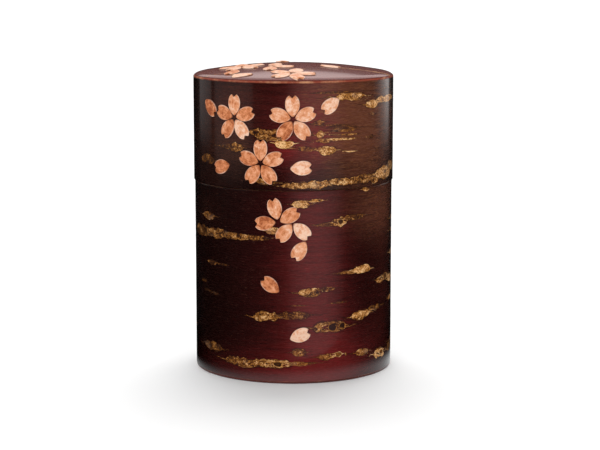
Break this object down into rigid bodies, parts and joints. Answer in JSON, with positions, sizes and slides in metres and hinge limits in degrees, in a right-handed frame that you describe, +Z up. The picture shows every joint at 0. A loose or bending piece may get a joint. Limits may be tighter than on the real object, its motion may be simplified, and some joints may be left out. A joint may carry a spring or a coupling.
{
  "type": "tea caddy",
  "caption": "Round wooden tea caddy in polished cherry bark, with raised blossom petals, a deep slip-over lid with a domed crown, and an inner lid with a knob.",
  "frame": {"origin": "centre of the flat base, on the surface the caddy stands on", "axes": "+Z up along the axis of the caddy, the front with the three lid flowers facing -Y, +X to the right of the front"},
  "size_m": [0.08, 0.0807, 0.1225],
  "materials": {
    "polished_bark": "polished dark wine-brown cherry bark with golden breathing marks",
    "lining_bark": "matt brown bark lining",
    "bare_veneer": "bare pale veneer",
    "petal_bark": "satin salmon-pink bark"
  },
  "bodies": {
    "canister": {"base_bark": "polished_bark", "base_board": "bare_veneer", "body_core_tube": "bare_veneer", "body_bark_wrap": "polished_bark", "neck_sleeve": "bare_veneer", "neck_lining": "lining_bark", "floor_lining": "lining_bark", "body_flower_petal_1": "petal_bark", "body_flower_petal_2": "petal_bark", "body_flower_petal_3": "petal_bark", "body_flower_petal_4": "petal_bark", "body_flower_petal_5": "petal_bark", "body_loose_petal_1": "petal_bark", "body_loose_petal_2": "petal_bark", "body_loose_petal_3": "petal_bark"},
    "inner_lid": {"inner_lid_plug": "bare_veneer", "inner_lid_disc": "bare_veneer", "inner_lid_facing": "polished_bark", "inner_lid_knob": "polished_bark"},
    "lid": {"lid_core_tube": "bare_veneer", "lid_bark_wrap": "polished_bark", "lid_lining": "lining_bark", "crown_board": "bare_veneer", "crown_bark": "polished_bark", "left_flower_petal_1": "petal_bark", "left_flower_petal_2": "petal_bark", "left_flower_petal_3": "petal_bark", "left_flower_petal_4": "petal_bark", "left_flower_petal_5": "petal_bark", "middle_flower_petal_1": "petal_bark", "middle_flower_petal_2": "petal_bark", "middle_flower_petal_3": "petal_bark", "middle_flower_petal_4": "petal_bark", "middle_flower_petal_5": "petal_bark", "lower_flower_petal_1": "petal_bark", "lower_flower_petal_2": "petal_bark", "lower_flower_petal_3": "petal_bark", "lower_flower_petal_4": "petal_bark", "lower_flower_petal_5": "petal_bark", "crown_front_flower_petal_1": "petal_bark", "crown_front_flower_petal_2": "petal_bark", "crown_front_flower_petal_3": "petal_bark", "crown_front_flower_petal_4": "petal_bark", "crown_front_flower_petal_5": "petal_bark", "crown_left_flower_petal_1": "petal_bark", "crown_left_flower_petal_2": "petal_bark", "crown_left_flower_petal_3": "petal_bark", "crown_left_flower_petal_4": "petal_bark", "crown_left_flower_petal_5": "petal_bark", "lid_loose_petal_1": "petal_bark", "lid_loose_petal_2": "petal_bark", "lid_loose_petal_3": "petal_bark", "lid_loose_petal_4": "petal_bark", "crown_loose_petal_1": "petal_bark", "crown_loose_petal_2": "petal_bark", "crown_loose_petal_3": "petal_bark", "crown_loose_petal_4": "petal_bark", "crown_loose_petal_5": "petal_bark", "crown_loose_petal_6": "petal_bark", "crown_loose_petal_7": "petal_bark"}
  },
  "joints": [
    {"name": "inner_lid_lift", "type": "slide", "parent": "canister", "child": "inner_lid", "axis": [0, 0, 1], "range_m": [0, 0.03]},
    {"name": "lid_lift", "type": "slide", "parent": "inner_lid", "child": "lid", "axis": [0, 0, 1], "range_m": [0, 0.06]}
  ]
}
